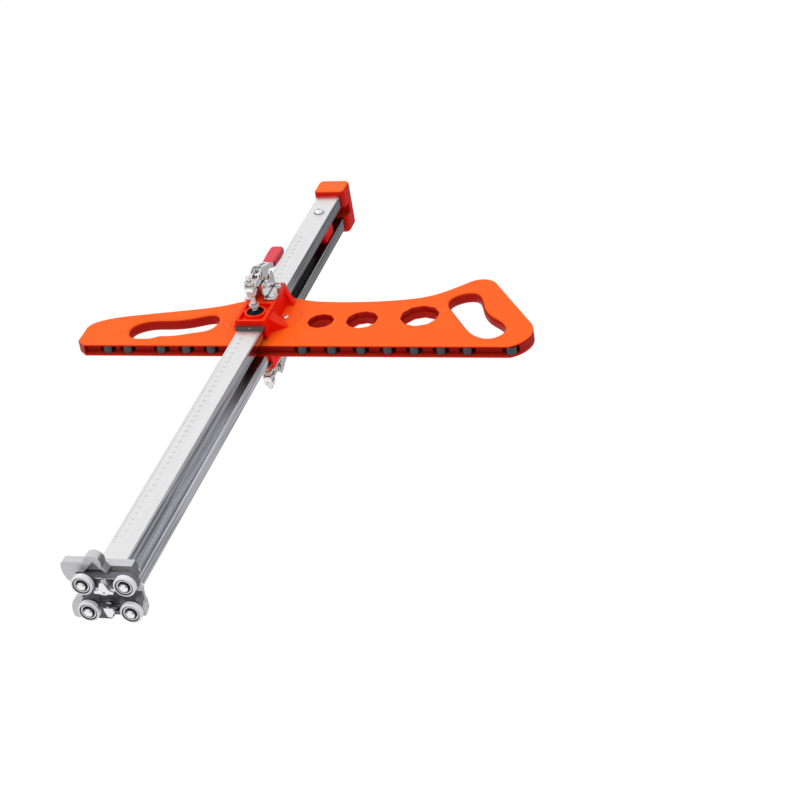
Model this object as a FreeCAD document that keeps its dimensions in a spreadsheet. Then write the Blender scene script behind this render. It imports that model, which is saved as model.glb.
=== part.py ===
"""Double-rail tile edge cutter with a folding roller fence, in millimetres.

Origin: midway between the two scoring wheels.  +X along the open fence towards
its D-handle, +Y along the rails from the cutting heads to the end yoke, +Z up.
"""
import FreeCAD, Part
import math
import os

from FreeCAD import Placement, Rotation, Vector

SIZES = {
    "rail_width": 30.0,
    "rail_height": 15.0,
    "rail_wall": 1.2,
    "rail_corner": 1.6,
    "rail_gap": 16.0,
    "rail_front": 31.0,
    "rail_back": 823.0,
    "yoke_front": 799.0,
    "yoke_back": 830.0,
    "yoke_top": 29.5,
    "yoke_side": 19.5,
    "stop_front": 731.0,
    "stop_back": 765.0,
    "stop_bolt_at": 755.0,
    "pivot_at": 526.0,
    "fence_thick": 14.5,
    "fence_edge": 64.4,
    "disc_radius": 42.0,
    "disc_floor": 3.6,
    "disc_face": 7.6,
    "hub_radius": 30.0,
    "running_fit": 0.05,
    "clearance": 0.3,
    "saddle_side": 18.0,
    "saddle_top": 32.0,
    "saddle_front": 475.0,
    "saddle_back": 560.0,
    "roof_floor": 24.6,
    "plunger_at": 497.0,
    "plunger_radius": 10.3,
    "groove_low": -3.9,
    "groove_high": 5.6,
    "groove_depth": 4.6,
    "grip_round": 5.2,
    "roller_radius": 6.5,
    "roller_proud": 0.5,
    "pin_radius": 2.0,
    "wheel_span": 22.4,
    "wheel_level": 16.0,
    "wheel_radius": 11.4,
    "wheel_width": 6.5,
    "bearing_radius": 8.0,
    "bearing_width": 5.0,
    "score_level": 8.7,
    "score_radius": 4.1,
    "plate_front": 20.0,
    "wing_front": 11.0,
    "carrier_front": 5.0,
    "carrier_back": 14.0,
    "plate_screw_level": 9.6,
    "clamp_plane": -2.0,
    "lever_half": 1.6,
    "link_inner": 1.9,
    "link_outer": 3.1,
    "bar_inner": 3.4,
    "bar_outer": 4.8,
    "base_inner": 5.6,
    "base_outer": 7.2,
    "rivet_radius": 2.0,
    "flank_inner": 5.1,
    "flank_outer": 6.3,
    "spindle_at": 501.5,
    "spindle_radius": 3.0,
}

# Roller positions along the fence, each side of the carriage.
ROLLERS = (-178.5, -153.5, -111.5, -80.5, -50.0,
           61.0, 96.0, 130.5, 162.0, 193.0, 224.0, 254.5, 304.0)

# Places of the screws that hold each wheel carrier to its head plate.
PLATE_SCREWS = (-21.0, 21.0)

# Fence screws as (along the fence, across it), from the pivot.
SCREW_SPOTS = ((-186, -36), (-38, -50), (38, -50), (93, 14), (150, 14), (222, -40),
               (306, -36), (236, 67))

# Places across the saddles of the screws that join the two turntable hubs.
HUB_SCREWS = (-24.4, 24.4)

# Toggle pivots as (along the rails, height): bar, lever, lever-to-link, link.
BAR_PIVOT = (527.0, 49.0)
LEVER_PIVOT = (528.0, 62.0)
LINK_JOINT = (540.0, 55.2)
LINK_PIVOT = (551.0, 47.0)

# Angle of each axis frame: a cylinder lies along Z until it is turned.
ALONG = {
    "X": Rotation(Vector(0, 1, 0), 90),
    "Y": Rotation(Vector(1, 0, 0), -90),
    "Z": Rotation(),
}

doc = FreeCAD.newDocument("TileCutter")
sheet = doc.addObject("Spreadsheet::Sheet", "Sizes")
nodes = []


def fill_sheet():
    """Write every driving size into the sheet under its alias."""
    for row, (alias, number) in enumerate(SIZES.items(), start=1):
        sheet.set("A%d" % row, alias)
        sheet.set("B%d" % row, str(number))
        sheet.setAlias("B%d" % row, alias)
    doc.recompute()


def cell(alias):
    """Read one driving size back from the sheet."""
    return float(sheet.get(alias))


def bound(term):
    """Turn a number or a formula of sheet aliases into an expression."""
    if isinstance(term, (int, float)):
        return repr(float(term))
    words = term.replace("(", "( ").replace(")", " )").split()
    return " ".join("Sizes." + w if w in SIZES else w for w in words)


def node(obj, label):
    """Register a finished sub-part under its node name."""
    obj.Label = label
    nodes.append(obj)
    return obj


# ---------------------------------------------------------------- primitives

def block(name, x, y, z):
    """Box between the low and high terms of each axis."""
    box = doc.addObject("Part::Box", name)
    for prop, span, place in zip(("Length", "Width", "Height"), (x, y, z), "xyz"):
        low, high = bound(span[0]), bound(span[1])
        box.setExpression(prop, "( %s ) - ( %s )" % (high, low))
        box.setExpression("Placement.Base." + place, low)
    return box


def rod(name, axis, base, radius, length):
    """Cylinder from its base centre along the given axis."""
    cylinder = doc.addObject("Part::Cylinder", name)
    cylinder.Placement = Placement(Vector(), ALONG[axis])
    for place, term in zip("xyz", base):
        cylinder.setExpression("Placement.Base." + place, bound(term))
    cylinder.setExpression("Radius", bound(radius))
    cylinder.setExpression("Height", bound(length))
    return cylinder


def fuse(name, *shapes):
    joined = doc.addObject("Part::MultiFuse", name)
    joined.Shapes = list(shapes)
    joined.Refine = True
    return joined


def group(name, *shapes):
    """Separate solids kept side by side in one node."""
    kept = doc.addObject("Part::Compound", name)
    kept.Links = list(shapes)
    return kept


def cut(name, base, *tools):
    tool = tools[0]
    if len(tools) > 1:
        tool = doc.addObject("Part::MultiFuse", name + "_tools")
        tool.Shapes = list(tools)
    result = doc.addObject("Part::Cut", name)
    result.Base = base
    result.Tool = tool
    return result


def common(name, base, tool):
    result = doc.addObject("Part::Common", name)
    result.Base = base
    result.Tool = tool
    return result


def flipped(name, source):
    """Mirror image of a sub-part below the mid-plane of the tile slot."""
    mirror = doc.addObject("Part::Mirroring", name)
    mirror.Source = source
    mirror.Base = Vector(0, 0, 0)
    mirror.Normal = Vector(0, 0, 1)
    return mirror


def rounded(name, base, radius, chosen):
    """Fillet the edges of base for which chosen(edge) is true."""
    doc.recompute()
    fillet = doc.addObject("Part::Fillet", name)
    fillet.Base = base
    fillet.Edges = [(number, radius, radius)
                    for number, edge in enumerate(base.Shape.Edges, start=1)
                    if chosen(edge)]
    return fillet


def runs_along(axis):
    """Test for straight edges that run along one axis."""
    def test(edge):
        if len(edge.Vertexes) != 2:
            return False
        span = edge.Vertexes[1].Point - edge.Vertexes[0].Point
        return abs(abs(span.normalize().dot(axis)) - 1) < 1e-6
    return test


# ------------------------------------------------------------------ sketches

def flat(x, y):
    return Vector(x, y, 0)


def polygon(points):
    """Closed run of straight edges."""
    corners = [flat(*point) for point in points]
    return [Part.LineSegment(a, b) for a, b in zip(corners, corners[1:] + corners[:1])]


def soft_polygon(points, radius):
    """Closed polygon whose corners are rounded by tangent arcs."""
    corners = [flat(*point) for point in points]
    entries, exits, middles = [], [], []
    for index, corner in enumerate(corners):
        back = (corners[index - 1] - corner).normalize()
        ahead = (corners[(index + 1) % len(corners)] - corner).normalize()
        half = back.getAngle(ahead) / 2
        reach = radius / math.tan(half)
        inward = (back + ahead).normalize()
        centre = corner + inward * (radius / math.sin(half))
        entries.append(corner + back * reach)
        exits.append(corner + ahead * reach)
        middles.append(centre - inward * radius)
    edges = []
    for index in range(len(corners)):
        edges.append(Part.Arc(entries[index], middles[index], exits[index]))
        edges.append(Part.LineSegment(exits[index], entries[(index + 1) % len(corners)]))
    return edges


def circle(x, y, radius):
    return [Part.Circle(flat(x, y), Vector(0, 0, 1), radius)]


def regular(x, y, radius, sides):
    """Regular polygon with a flat towards the first axis."""
    turns = [math.pi * (2 * k + 1) / sides for k in range(sides)]
    return polygon([(x + radius * math.cos(a), y + radius * math.sin(a)) for a in turns])


def smooth(points):
    """Open spline through the points."""
    curve = Part.BSplineCurve()
    curve.interpolate([flat(*point) for point in points])
    return curve


def smooth_loop(points):
    """Closed spline through the points."""
    curve = Part.BSplineCurve()
    curve.interpolate([flat(*point) for point in points], True)
    return [curve]


def new_body(name, plane, edges, offset):
    """Body with one sketch on an origin plane, moved along its normal."""
    body = doc.addObject("PartDesign::Body", name)
    sketch = body.newObject("Sketcher::SketchObject", name + "_outline")
    role = [f for f in body.Origin.OriginFeatures if f.Role == plane + "_Plane"][0]
    sketch.AttachmentSupport = [(role, "")]
    sketch.MapMode = "FlatFace"
    sketch.setExpression("AttachmentOffset.Base.z", offset)
    for edge in edges:
        sketch.addGeometry(edge, False)
    return body, sketch


def plate(name, plane, edges, low, high):
    """Pad of a closed outline between two levels along the plane's axis."""
    low, high = bound(low), bound(high)
    offset = "-( %s )" % high if plane == "XZ" else low
    body, sketch = new_body(name, plane, edges, offset)
    pad = body.newObject("PartDesign::Pad", name + "_pad")
    pad.Profile = sketch
    pad.setExpression("Length", "( %s ) - ( %s )" % (high, low))
    return body


def turned(name, points, axis, centre):
    """Revolved body from (radius, height) points, stood along an axis."""
    body, sketch = new_body(name, "XZ", polygon(points), "0")
    spin = body.newObject("PartDesign::Revolution", name + "_turn")
    spin.Profile = sketch
    spin.ReferenceAxis = (sketch, ["V_Axis"])
    spin.Angle = 360.0
    body.Placement = Placement(Vector(), ALONG[axis])
    for place, term in zip("xyz", centre):
        body.setExpression("Placement.Base." + place, bound(term))
    return body


# --------------------------------------------------------------------- frame

def make_rails():
    """Two thin-walled rectangular tubes, one above the other."""
    low = "rail_gap / 2"
    high = "rail_gap / 2 + rail_height"
    side = "rail_width / 2"
    ends = ("rail_front", "rail_back")
    outer = block("rail_outer", ("-1 * " + side, side), ends, (low, high))
    skin = rounded("rail_skin", outer, cell("rail_corner"), runs_along(Vector(0, 1, 0)))
    inner = block("rail_inner", ("-1 * " + side + " + rail_wall", side + " - rail_wall"),
                  ("rail_front - 1", "rail_back + 1"), (low + " + rail_wall", high + " - rail_wall"))
    drill = rod("rail_drill", "Z", (0, "stop_bolt_at", 0), 3.1, 40)
    rail = cut("upper_tube", skin, inner, drill)
    node(rail, "upper_rail")
    node(flipped("lower_tube", rail), "lower_rail")


def make_yoke():
    """End cap that holds both rail ends and leaves the gap open."""
    side = "yoke_side"
    ends = ("yoke_front", "yoke_back")
    solid = block("yoke_block", ("-1 * " + side, side), ends, ("-1 * yoke_top", "yoke_top"))
    corners = rounded("yoke_corners", solid, 6.0, runs_along(Vector(0, 0, 1)))
    top = cell("yoke_top")
    soft = rounded("yoke_soft", corners, 3.4,
                   lambda edge: all(abs(abs(v.Z) - top) < 1e-6 for v in edge.Vertexes))
    sockets = []
    reach = "rail_width / 2 + 0.02"
    for name, sign in (("high", 1), ("low", -1)):
        near = cell("rail_gap") / 2 - 0.02
        far = near + cell("rail_height") + 0.04
        span = (near, far) if sign > 0 else (-far, -near)
        sockets.append(block("yoke_socket_" + name, ("-1 * ( " + reach + " )", reach),
                             ("yoke_front - 1", "rail_back"), span))
    mouth = block("yoke_mouth", ("-1 * yoke_side - 1", "yoke_side + 1"),
                  ("yoke_front - 1", "yoke_front + 15"), (-6.5, 6.5))
    node(cut("yoke", soft, mouth, *sockets), "end_yoke")


def make_stop():
    """Spacer between the rails, with the bolt that ties them together."""
    half = "rail_gap / 2"
    solid = block("stop_solid", (-12, 12), ("stop_front", "stop_back"), ("-1 * " + half, half))
    soft = rounded("stop_soft", solid, 5.0, runs_along(Vector(0, 0, 1)))
    drill = rod("stop_drill", "Z", (0, "stop_bolt_at", -20), 3.0, 40)
    node(cut("stop", soft, drill), "spacer_block")
    top = cell("rail_gap") / 2 + cell("rail_height")
    head = turned("stop_bolt", [(0, -top - 5), (2.9, -top - 5), (2.9, top), (5.6, top),
                                (5.6, top + 2.6), (3.4, top + 4.4), (2.0, top + 4.4),
                                (2.0, top + 2.4), (0, top + 2.4)],
                  "Z", (0, "stop_bolt_at", 0))
    hexagon = regular(0, cell("stop_bolt_at"), 6.0, 6) + circle(0, cell("stop_bolt_at"), 2.9)
    nut = plate("stop_nut", "XY", hexagon, -top - 4.4, -top)
    node(group("stop_fixing", head, nut), "spacer_bolt")


def make_heads():
    """Cast head plates: a block with a spigot, a forward wing, a boss or a skirt."""
    block_edge = [(23.6, 24.5), (-4, 24.5), (-30, 25.5), (-36, 23.5), (-38, 15), (-35, 5.5), (23.4, 5.5),
                  (25, 8), (25, 21)]
    wing_edge = [(2.4, 22.2), (-3.6, 30.5), (-7, 34), (-43.5, 34), (-46.3, 32), (-47.2, 27.5),
                 (-46.6, 20), (-44.2, 14), (-40.2, 9.6), (-36.5, 7.8), (-32.3, 7.8), (-32.3, 22.2)]
    back = plate("head_back", "XZ", soft_polygon(block_edge, 0.9), "plate_front", "rail_front")
    wing = plate("head_wing", "XZ", soft_polygon(wing_edge, 0.8), "wing_front", "plate_front + 1")
    spigot = block("head_spigot", (-13.5, 13.5), ("rail_front - 1", "rail_front + 26"),
                   ("rail_gap / 2 + rail_wall + 0.1", "rail_gap / 2 + rail_height - rail_wall - 0.1"))
    drills = [rod("head_drill_%d" % k, "Y", (x, "plate_front - 1", "plate_screw_level"), 2.05, 14)
              for k, x in enumerate(PLATE_SCREWS)]
    solid = fuse("head_solid", back, wing, spigot)
    boss = rod("head_boss", "Y", (-12.4, "wing_front - 1", 32.9), 9.8, 11)
    notch = plate("head_notch", "XZ", polygon([(-25, 21), (-1, 21), (-11.2, 36)]),
                  "wing_front - 2", "wing_front + 4.5")
    node(cut("head", fuse("head_bossed", solid, boss), notch, *drills), "upper_head")
    skirt_edge = [(26.6, -8.4), (29.8, -17), (29.6, -27), (25.6, -36), (-22, -36), (-22, -20), (20, -8.4)]
    skirt = plate("head_skirt", "XZ", soft_polygon(skirt_edge, 0.9), "plate_front + 0.3", "plate_front + 4.3")
    low_drills = [flipped("head_low_%s" % drill.Name, drill) for drill in drills]
    low = fuse("head_skirted", flipped("head_below", solid), skirt)
    node(cut("head_low", low, *low_drills), "lower_head")


def make_carriers():
    """Thick plates that carry two wheels and a scoring holder each."""
    span = cell("wheel_span")
    profile = [(-span - 9, 8.5), (-span - 9, 17.5), (-span - 4, 21.5), (span + 3, 21.5),
               (span + 7, 16.5), (span + 7, 8), (span + 4, 5.2), (-span - 5, 5.2)]
    face = plate("carrier_face", "XZ", soft_polygon(profile, 1.6), "carrier_front", "carrier_back")
    spacer = block("carrier_spacer", (-span - 6.5, span + 6.5), ("carrier_back - 0.5", "plate_front"),
                   (5.2, 14.6))
    dish = block("carrier_dish", (-12, 12), (4, 8.5), (5, 19.5))
    bores = [rod("carrier_bore_%d" % k, "Y", (x, 4, "wheel_level"), 2.5, 10)
             for k, x in enumerate((-span, span))]
    drills = [rod("carrier_drill_%d" % k, "Y", (x, 12, "plate_screw_level"), 2.05, 12)
              for k, x in enumerate(PLATE_SCREWS)]
    carrier = cut("carrier", fuse("carrier_solid", face, spacer), dish, *(bores + drills))
    node(carrier, "upper_wheel_carrier")
    node(flipped("carrier_below", carrier), "lower_wheel_carrier")


def make_scoring():
    """Steel forks with a small hard wheel that turns between their cheeks."""
    cheek = [(-10.5, 7.8), (-10.2, 10.4), (-5.2, 12.0), (-2.4, 20.4), (1.8, 21.0), (5.4, 12.0),
             (9.8, 9.6), (9.8, 7.4), (4.2, 7.4), (1.8, 6.2), (-1.8, 6.2), (-4.2, 7.4)]
    level = cell("score_level")
    hole = circle(0, level, 1.3 + cell("running_fit"))
    front = plate("fork_front", "XZ", soft_polygon(cheek, 0.6) + hole, -3.6, -1.6)
    rear = plate("fork_rear", "XZ", soft_polygon(cheek, 0.6) + hole, 1.6, 3.6)
    bridge = block("fork_bridge", (-2.9, 2.1), (-1.7, 1.7), (14, 17.6))
    stem = block("fork_stem", (-3.4, 2.8), (3.5, 8.5), (13.6, 17.4))
    fork = fuse("fork", front, rear, bridge, stem)
    node(fork, "upper_scoring_holder")
    node(flipped("fork_below", fork), "lower_scoring_holder")
    radius = cell("score_radius")
    wheel = turned("score_wheel", [(0, -3.9), (1.3, -3.9), (1.3, -1.2), (2.6, -1.2), (radius, -0.15),
                                   (radius, 0.15), (2.6, 1.2), (1.3, 1.2), (1.3, 3.9), (0, 3.9)],
                   "Y", (0, 0, "score_level"))
    node(wheel, "upper_scoring_wheel")
    node(flipped("score_wheel_below", wheel), "lower_scoring_wheel")


def make_axles():
    """Axle screws with the inner rings and spacers that they clamp."""
    half = cell("bearing_width") / 2
    shank = 2.45
    ring = 4.1
    screw = [(0, -5.4), (3.2, -5.4), (4.5, -4.4), (4.5, -2.8), (ring - 0.4, -2.8), (ring - 0.4, -half),
             (shank, -half), (shank, 14), (0, 14)]
    inner = [(shank, -half), (ring, -half), (ring, half), (3.8, half), (3.8, cell("carrier_front")),
             (shank, cell("carrier_front"))]
    pieces = []
    for level, sign in (("top", 1), ("low", -1)):
        for side, x in (("left", "-1 * wheel_span"), ("right", "wheel_span")):
            tag = level + "_" + side
            centre = (x, 0, "%d * wheel_level" % sign)
            pieces.append(turned("axle_screw_" + tag, screw, "Y", centre))
            pieces.append(turned("axle_ring_" + tag, inner, "Y", centre))
    node(group("axles", *pieces), "wheel_axles")


def make_head_screws():
    """Screws from behind that hold each wheel carrier to its head plate."""
    profile = [(0, 12), (2.0, 12), (2.0, 31), (3.4, 31), (3.4, 34.4), (1.5, 34.4), (1.5, 32.6), (0, 32.6)]
    screws = []
    for level, z in (("top", "plate_screw_level"), ("low", "-1 * plate_screw_level")):
        for side, x in zip(("left", "right"), PLATE_SCREWS):
            screws.append(turned("head_screw_" + level + "_" + side, profile, "Y", (x, 0, z)))
    node(group("plate_screws", *screws), "head_screws")


def make_wheels():
    """Nylon tyres on ball bearings, two above the tile and two below."""
    half = cell("wheel_width") / 2
    outer, seat = cell("wheel_radius"), cell("bearing_radius")
    tyre = [(seat, -half + 1.4), (seat + 0.9, -half + 1.4), (seat + 0.9, -half + 0.3),
            (seat + 1.2, -half), (outer - 1.0, -half), (outer, -half + 1.0),
            (outer, half - 1.0), (outer - 1.0, half), (seat, half)]
    race = cell("bearing_width") / 2
    bore = 4.1 + cell("running_fit")
    bearing = [(bore, -race + 0.9), (6.8, -race + 0.9), (6.9, -race), (seat, -race), (seat, race),
               (6.9, race), (6.8, race - 0.4), (bore, race - 0.4)]
    for level, sign in (("upper", 1), ("lower", -1)):
        for side, x in (("left", "-1 * wheel_span"), ("right", "wheel_span")):
            tag = level + "_" + side
            centre = (x, 0, "%d * wheel_level" % sign)
            node(turned(tag + "_tyre_body", tyre, "Y", centre), tag + "_tyre")
            node(turned(tag + "_bearing_body", bearing, "Y", centre), tag + "_bearing")


# ------------------------------------------------------------------ carriage

def make_saddles():
    """Sleeve over each rail, on a round turntable for the fence."""
    disc_low = cell("disc_floor")
    disc_high = cell("disc_face")
    disc = rod("saddle_disc", "Z", (0, "pivot_at", disc_low), "disc_radius", disc_high - disc_low)
    hub = rod("saddle_hub", "Z", (0, "pivot_at", 0), "hub_radius", disc_low + 0.1)
    sleeve = block("saddle_sleeve", ("-1 * saddle_side", "saddle_side"),
                   ("saddle_front", "saddle_back"), (disc_high, "saddle_top"))
    front = [(-34, disc_high - 0.1), (-17, 28), (17, 28), (34, disc_high - 0.1)]
    rear = [(-27, disc_high - 0.1), (-17, 31.6), (17, 31.6), (27, disc_high - 0.1)]
    ramps = plate("saddle_ramps", "XZ", polygon(front), 489, 506)
    gussets = plate("saddle_gussets", "XZ", polygon(rear), 551, 559)
    turret = rod("saddle_turret", "Z", (0, "pivot_at", 0), "disc_radius - 0.8", 40)
    cheeks = common("saddle_cheeks", fuse("saddle_flank", ramps, gussets), turret)
    solid = fuse("saddle_solid", disc, hub, sleeve, cheeks)
    channel = block("saddle_channel", ("-1 * rail_width / 2 - clearance", "rail_width / 2 + clearance"),
                    ("saddle_front - 10", "saddle_back + 20"), (disc_high, "roof_floor"))
    tray = block("saddle_tray", (-14.5, 14.5), ("saddle_front + 3", 514), (27, 33))
    ring = rod("saddle_ring", "Z", (0, "plunger_at", 20), "plunger_radius + 2.4", 20)
    rib = block("saddle_rib", (-15, 15), ("plunger_at - 1.2", "plunger_at + 1.2"), (26, 34))
    frame = cut("saddle_tray_open", tray, ring, rib)
    hole = rod("saddle_hole", "Z", (0, "plunger_at", 20), "plunger_radius", 20)
    drills = [rod("saddle_drill_%d" % k, "Z", (x, "pivot_at - 2.5", -1), 2.05, 12)
              for k, x in enumerate(HUB_SCREWS)]
    saddle = cut("saddle", solid, channel, frame, hole, *drills)
    node(saddle, "upper_saddle")
    node(flipped("saddle_below", saddle), "lower_saddle")


def make_glide_pads():
    """Low-friction liners between saddle roof and rail, with a cursor lip."""
    low = cell("rail_gap") / 2 + cell("rail_height") + 0.1
    liner = block("liner", (-14.5, 14.5), (470, 556), (low, "roof_floor"))
    lip = block("liner_lip", (-17, 17), (468, "saddle_front"), (low, "roof_floor + 0.8"))
    hole = rod("liner_hole", "Z", (0, "plunger_at", 20), "plunger_radius", 10)
    pad = cut("pad", fuse("liner_solid", liner, lip), hole)
    node(group("pads", pad, flipped("pad_below", pad)), "glide_pads")


def make_pressure_pads():
    """Rubber plugs in the saddle holes that the spindles press on the rails."""
    low = cell("rail_gap") / 2 + cell("rail_height") + 0.1
    radius = cell("plunger_radius") - 0.02
    plug = turned("plug", [(0, low), (radius, low), (radius, 31.0), (9.6, 31.6), (8.9, 31.6),
                           (8.7, 30.6), (0, 30.6)], "Z", (0, "plunger_at", 0))
    node(plug, "upper_pressure_pad")
    node(flipped("plug_below", plug), "lower_pressure_pad")


def make_saddle_screws():
    """Screws and nuts that draw the two turntable hubs together."""
    seat = cell("disc_face")
    profile = [(0, -seat - 4), (2.0, -seat - 4), (2.0, seat), (3.7, seat), (3.7, seat + 1.8),
               (2.6, seat + 2.9), (0, seat + 2.9)]
    pieces = []
    for side, x in zip(("left", "right"), HUB_SCREWS):
        y = cell("pivot_at") - 2.5
        pieces.append(turned("hub_screw_" + side, profile, "Z", (x, y, 0)))
        pieces.append(plate("hub_nut_" + side, "XY", regular(x, y, 4.0, 6) + circle(x, y, 2.0),
                            -seat - 3.2, -seat))
    node(group("hub_screws", *pieces), "saddle_screws")


# -------------------------------------------------------------- toggle clamps

def sheets(name, edges, inner, outer):
    """Pair of equal pressed plates either side of the clamp's mid-plane."""
    right = plate(name + "_right", "YZ", edges, "clamp_plane + " + inner, "clamp_plane + " + outer)
    left = plate(name + "_left", "YZ", edges, "clamp_plane - " + outer, "clamp_plane - " + inner)
    return right, left


def cross_pin(name, at, radius, half):
    """Pin across the clamp, centred on its mid-plane."""
    return rod(name, "X", ("clamp_plane - %g" % half, at[0], at[1]), radius, 2 * half)


def make_clamp_base():
    """Two angle plates with feet on the saddle roof."""
    roof = cell("saddle_top")
    outline = [(519, roof), (560, roof), (560, 44), (556.5, 52), (547, 52.5), (541, 46),
               (534.5, 49), (532, 54), (523, 54), (519, 48)]
    holes = circle(*BAR_PIVOT, cell("rivet_radius")) + circle(*LINK_PIVOT, cell("rivet_radius"))
    right, left = sheets("base", soft_polygon(outline, 1.4) + holes, "base_inner", "base_outer")
    solids = []
    for tag, side, sign in (("right", right, 1), ("left", left, -1)):
        near = cell("clamp_plane") + sign * (cell("base_outer") - 0.4)
        far = cell("clamp_plane") + sign * 19
        span = (near, far) if sign > 0 else (far, near)
        foot = block("base_foot_" + tag, span, (521, 560), (roof, roof + 1.6))
        solid = fuse("base_angle_" + tag, side, foot)
        screws_x = cell("clamp_plane") + sign * 12.6
        drills = [rod("base_drill_%s_%d" % (tag, k), "Z", (screws_x, y, roof - 1), 2.1, 6)
                  for k, y in enumerate((528, 553))]
        solids.append(cut("base_side_" + tag, solid, *drills))
    base = group("base", *solids)
    node(base, "upper_clamp_base")
    node(flipped("base_below", base), "lower_clamp_base")


def make_base_screws():
    """Pan-head screws through the clamp feet into the saddle roofs."""
    seat = cell("saddle_top") + 1.6
    screws = []
    for level, sign in (("top", 1), ("low", -1)):
        profile = [(0, sign * (seat - 1.6)), (2.0, sign * (seat - 1.6)), (2.0, sign * seat),
                   (3.6, sign * seat), (3.4, sign * (seat + 1.5)), (2.0, sign * (seat + 2.4)),
                   (0, sign * (seat + 2.4))]
        for side in (-1, 1):
            for y in (528, 553):
                x = cell("clamp_plane") + side * 12.6
                tag = "%s_%d_%d" % (level, side + 1, y)
                screws.append(turned("foot_screw_" + tag, profile, "Z", (x, y, 0)))
    node(group("foot_screws", *screws), "clamp_base_screws")


def make_rivets():
    """Fixed pivots of both clamps: bar pivot and link pivot."""
    outer = cell("base_outer")
    rivets = []
    for tag, at in (("bar", BAR_PIVOT), ("link", LINK_PIVOT)):
        shank = cross_pin("rivet_shank_" + tag, at, "rivet_radius", outer + 0.6)
        caps = [rod("rivet_cap_%s_%d" % (tag, k), "X", ("clamp_plane + %g" % start, at[0], at[1]), 3.4, 1.3)
                for k, start in enumerate((outer, -outer - 1.3))]
        rivets.append(fuse("rivet_" + tag, shank, *caps))
    rivets += [flipped("rivet_below_%d" % k, rivet) for k, rivet in enumerate(list(rivets))]
    node(group("rivets", *rivets), "clamp_rivets")


def make_bar():
    """Slotted hold-down bar: two plates joined at the front by a bend."""
    at = cell("spindle_at")
    outline = [(at - 6.5, 57.4), (518, 57.4), (522, 44.8), (531.4, 44.8), (532.4, 65.2),
               (529.6, 67), (524.6, 66.4), (518, 63), (at - 6.5, 63)]
    holes = circle(*BAR_PIVOT, cell("rivet_radius") + cell("running_fit"))
    right, left = sheets("bar", soft_polygon(outline, 1.2) + holes, "bar_inner", "bar_outer")
    bend = block("bar_bend", ("clamp_plane - bar_outer", "clamp_plane + bar_outer"),
                 (at - 6.4, at - 4.6), (57.4, 63))
    web = block("bar_web", ("clamp_plane - bar_outer", "clamp_plane + bar_outer"),
                (at + 6.6, at + 9), (57.4, 63))
    outer = cell("flank_outer") + 0.3
    pin = cross_pin("bar_pin", LEVER_PIVOT, 1.6, outer + 0.4)
    caps = [rod("bar_cap_%d" % k, "X", ("clamp_plane + %g" % start, *LEVER_PIVOT), 2.9, 0.9)
            for k, start in enumerate((outer, -outer - 0.9))]
    bar = fuse("bar", right, left, bend, web, pin, *caps)
    node(bar, "upper_clamp_bar")
    node(flipped("bar_below", bar), "lower_clamp_bar")


def make_spindle():
    """Threaded spindle with flanged washers and nuts above and below the bar."""
    at = ("clamp_plane", "spindle_at", 0)
    thread = turned("spindle_rod", [(0, 31.0), (2.6, 31.0), (3.4, 31.7), (3.4, 34.0), (3.0, 34.4),
                                    (3.0, 74.4), (2.4, 75), (0, 75)], "Z", at)
    pieces = [thread]
    x, y = cell("clamp_plane"), cell("spindle_at")
    ring = circle(x, y, cell("spindle_radius"))
    for tag, low, high in (("low", 56.0, 57.4), ("high", 63.0, 64.4)):
        pieces.append(plate("spindle_washer_" + tag, "XY", circle(x, y, 7.0) + ring, low, high))
    for tag, low, high in (("low", 51.0, 56.0), ("high", 64.4, 69.4), ("foot", 35.2, 39.2)):
        pieces.append(plate("spindle_nut_" + tag, "XY", regular(x, y, 5.7, 6) + ring, low, high))
    spindle = group("spindle", *pieces)
    node(spindle, "upper_clamp_spindle")
    node(flipped("spindle_below", spindle), "lower_clamp_spindle")


def make_lever():
    """Hand lever: a folded channel with a slotted top, and its red sleeve."""
    half = cell("flank_outer")
    outline = [(523.5, 58.5), (523.0, 65.5), (525.8, 69.8), (531, 70.2), (563, 59.8), (567, 58),
               (567, 51.6), (562, 51.8), (557, 55.4), (551, 56.2), (545, 53.4), (540, 50.6),
               (535.4, 53), (532.4, 56.8), (528, 56.9)]
    holes = circle(*LEVER_PIVOT, 1.6 + cell("running_fit"))
    flanks = sheets("lever", soft_polygon(outline, 0.5) + holes, "flank_inner", "flank_outer")
    roof = [(537, 68.25), (563, 59.8), (567, 58), (567, 56.7), (562.6, 58.6), (536.6, 67.05)]
    web = plate("lever_roof", "YZ", polygon(roof), "clamp_plane - flank_outer", "clamp_plane + flank_outer")
    slot = block("lever_slot", ("clamp_plane - 1.5", "clamp_plane + 1.5"), (540.5, 557), (54, 72))
    heel = block("lever_heel", ("clamp_plane - flank_outer", "clamp_plane + flank_outer"),
                 (565.6, 567), (51.6, 57.4))
    tang = block("lever_tang", ("clamp_plane - lever_half", "clamp_plane + lever_half"),
                 (566, 597), (50, 55.6))
    pin = cross_pin("lever_pin", LINK_JOINT, 1.8, half)
    lever = fuse("lever", *flanks, cut("lever_top", web, slot), heel, tang, pin)
    node(lever, "upper_clamp_lever")
    node(flipped("lever_below", lever), "lower_clamp_lever")
    low, high = 48.4, 58.2
    middle = cell("clamp_plane")
    sides = [(middle - 7.8, 567.2), (middle + 7.8, 567.2), (middle + 8.8, 590), (middle + 8.0, 606),
             (middle - 8.0, 606), (middle - 8.8, 590)]
    raw = plate("sleeve_raw", "XY", soft_polygon(sides, 4.6), low, high)
    soft = rounded("sleeve_soft", raw, 3.6,
                   lambda edge: any(all(abs(v.Z - z) < 1e-6 for v in edge.Vertexes) for z in (low, high)))
    sleeve = cut("sleeve", soft, lever)
    node(sleeve, "upper_clamp_grip")
    node(flipped("sleeve_below", sleeve), "lower_clamp_grip")


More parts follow.
